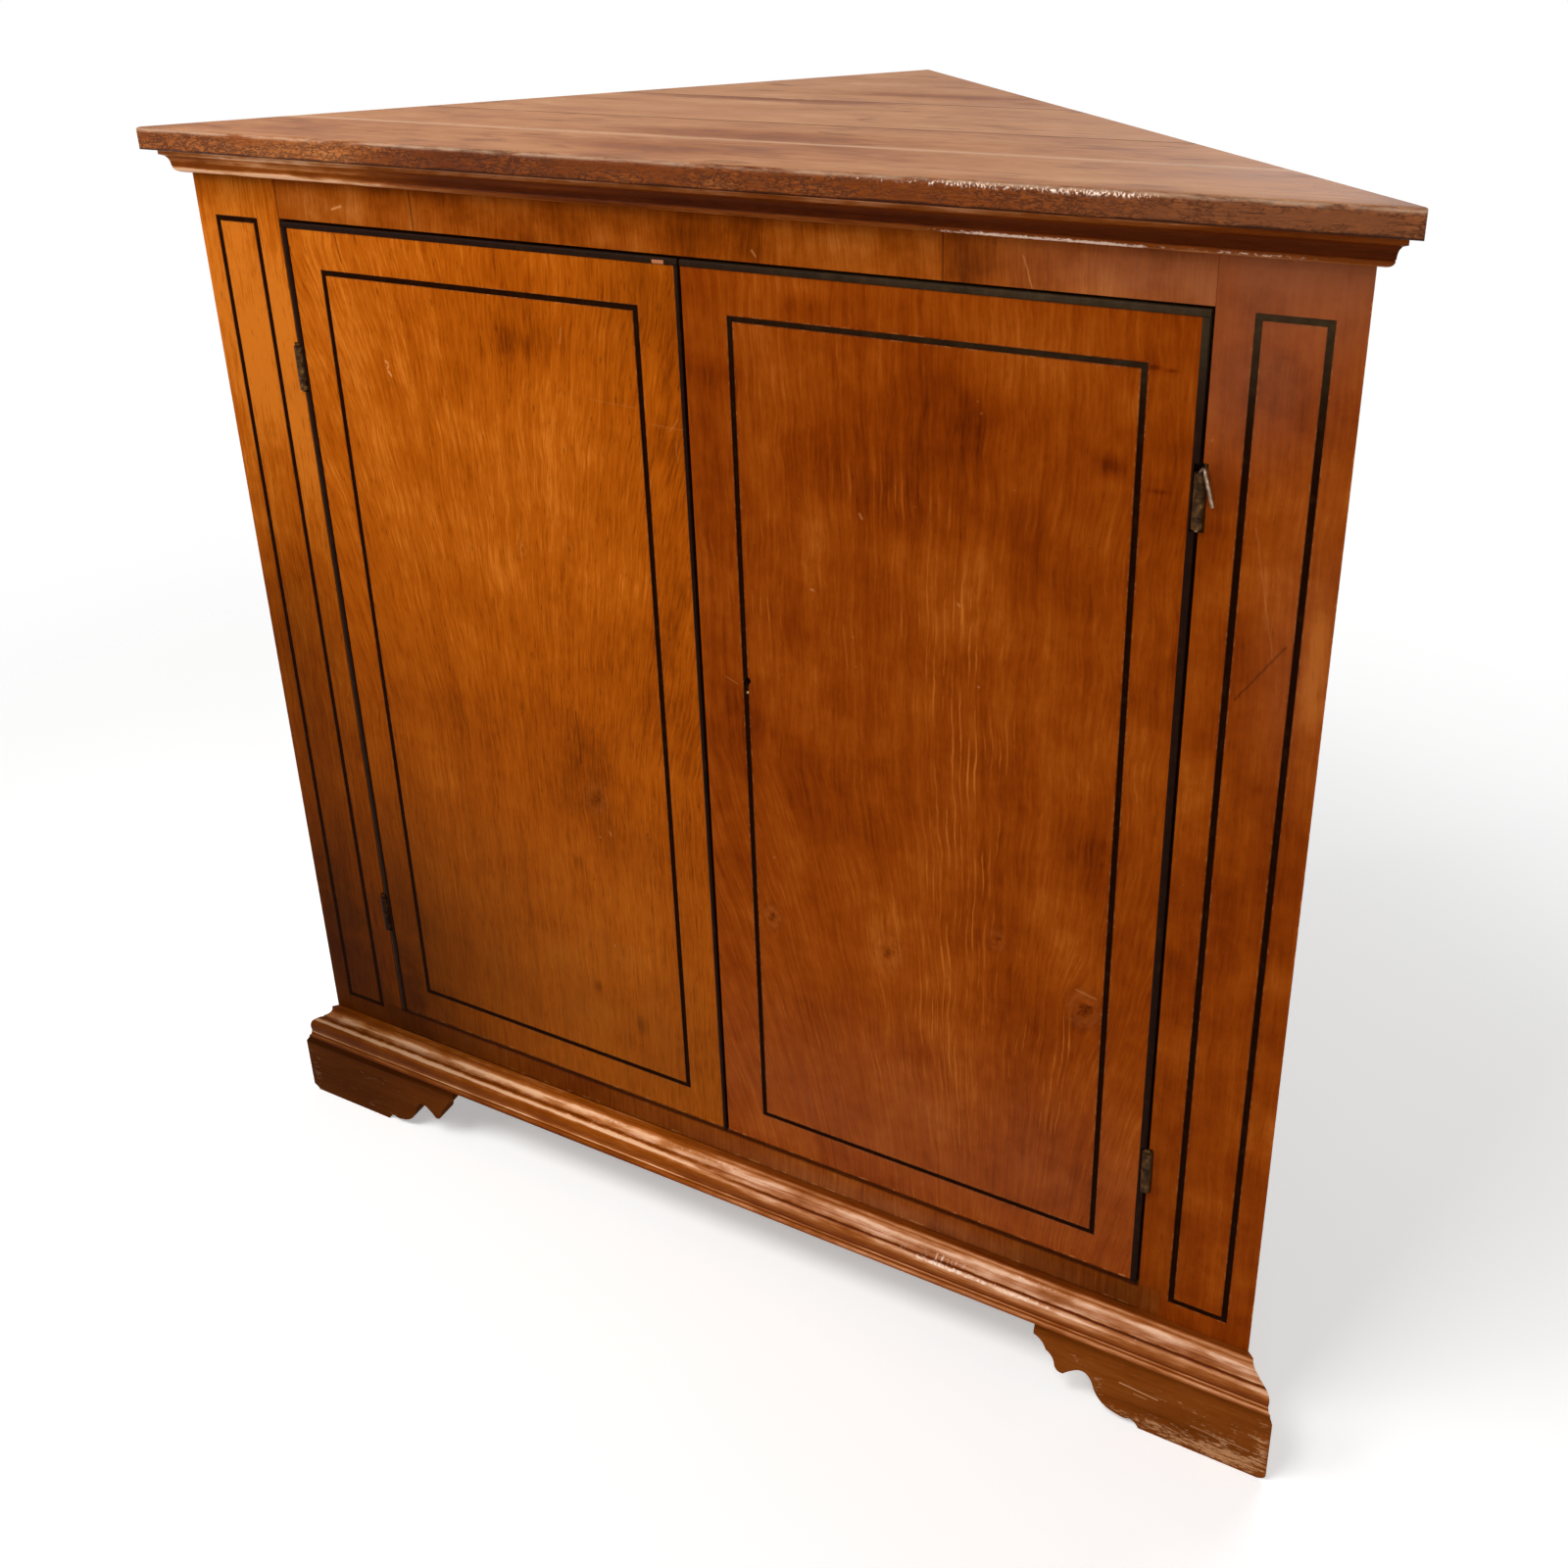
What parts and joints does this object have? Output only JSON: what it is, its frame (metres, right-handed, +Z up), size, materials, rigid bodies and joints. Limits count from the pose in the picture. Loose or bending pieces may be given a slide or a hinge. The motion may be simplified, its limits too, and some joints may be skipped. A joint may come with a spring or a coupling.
{
  "type": "corner cupboard",
  "caption": "Low triangular corner cupboard in cherry veneer with paired doors, black string inlay, moulded top and base, and scroll-cut bracket feet.",
  "frame": {"origin": "on the floor, under the middle of the outer box", "axes": "+Z up; the front with the doors faces -Y; the two wall sides meet in a square corner towards +Y; +X to the right seen from the front"},
  "size_m": [0.9826, 0.4926, 1],
  "materials": {
    "top_wood": "faded, scuffed polish over cherry",
    "moulding_wood": "worn french polish",
    "cherry_veneer": "worn french polish, orange brown",
    "red_cherry_veneer": "worn french polish, red brown",
    "ebonised_wood": "ebonised, satin",
    "raw_wood": "unfinished, aged",
    "shelf_wood": "planed, waxed thinly",
    "aged_brass": "tarnished brass",
    "iron": "dark worn iron"
  },
  "bodies": {
    "carcase": {"top_front_plank": "top_wood", "top_second_plank": "top_wood", "top_third_plank": "top_wood", "top_rear_plank": "top_wood", "cornice_moulding": "moulding_wood", "frieze_rail": "cherry_veneer", "bottom_rail": "red_cherry_veneer", "base_moulding": "moulding_wood", "rear_foot": "raw_wood", "rear_post": "raw_wood", "bottom_board": "shelf_wood", "door_stop": "raw_wood", "lower_shelf": "shelf_wood", "upper_shelf": "shelf_wood", "left_stile": "cherry_veneer", "left_pilaster_string": "ebonised_wood", "left_bracket_foot": "moulding_wood", "left_foot_block": "raw_wood", "left_front_back_board": "raw_wood", "left_rear_back_board": "raw_wood", "left_bottom_cleat": "raw_wood", "left_lower_cleat": "raw_wood", "left_upper_cleat": "raw_wood", "left_upper_frame_leaf": "aged_brass", "left_upper_hinge_pin": "iron", "left_lower_frame_leaf": "aged_brass", "left_lower_hinge_pin": "iron", "right_stile": "red_cherry_veneer", "right_pilaster_string": "ebonised_wood", "right_bracket_foot": "moulding_wood", "right_foot_block": "raw_wood", "right_front_back_board": "raw_wood", "right_rear_back_board": "raw_wood", "right_bottom_cleat": "raw_wood", "right_lower_cleat": "raw_wood", "right_upper_cleat": "raw_wood", "right_upper_frame_leaf": "aged_brass", "right_upper_hinge_pin": "iron", "right_lower_frame_leaf": "aged_brass", "right_lower_hinge_pin": "iron"},
    "left_door": {"left_door_panel": "cherry_veneer", "left_door_string": "ebonised_wood", "left_door_top_bead": "ebonised_wood", "left_door_hinge_bead": "ebonised_wood", "left_upper_door_leaf": "aged_brass", "left_lower_door_leaf": "aged_brass", "meeting_bead": "ebonised_wood", "lock_keeper": "aged_brass", "top_bolt_plate": "iron", "bottom_bolt_plate": "iron"},
    "right_door": {"right_door_panel": "red_cherry_veneer", "right_door_string": "ebonised_wood", "right_door_top_bead": "ebonised_wood", "right_door_hinge_bead": "ebonised_wood", "right_upper_door_leaf": "aged_brass", "right_lower_door_leaf": "aged_brass", "lock_case": "iron"},
    "lock_bolt": {"lock_bolt": "aged_brass"},
    "top_bolt": {"top_bolt": "iron"},
    "bottom_bolt": {"bottom_bolt": "iron"}
  },
  "joints": [
    {"name": "left_door_hinge", "type": "hinge", "parent": "carcase", "child": "left_door", "pos_m": [-0.3755, -0.2188, 0.5265], "axis": [0, 0, -1], "range_deg": [0, 120]},
    {"name": "right_door_hinge", "type": "hinge", "parent": "carcase", "child": "right_door", "pos_m": [0.3755, -0.2188, 0.5265], "axis": [0, 0, 1], "range_deg": [0, 105]},
    {"name": "lock_bolt_slide", "type": "slide", "parent": "right_door", "child": "lock_bolt", "axis": [-1, 0, 0], "range_m": [0, 0.007]},
    {"name": "top_bolt_slide", "type": "slide", "parent": "left_door", "child": "top_bolt", "axis": [0, 0, 1], "range_m": [0, 0.024]},
    {"name": "bottom_bolt_slide", "type": "slide", "parent": "left_door", "child": "bottom_bolt", "axis": [0, 0, -1], "range_m": [0, 0.024]}
  ]
}
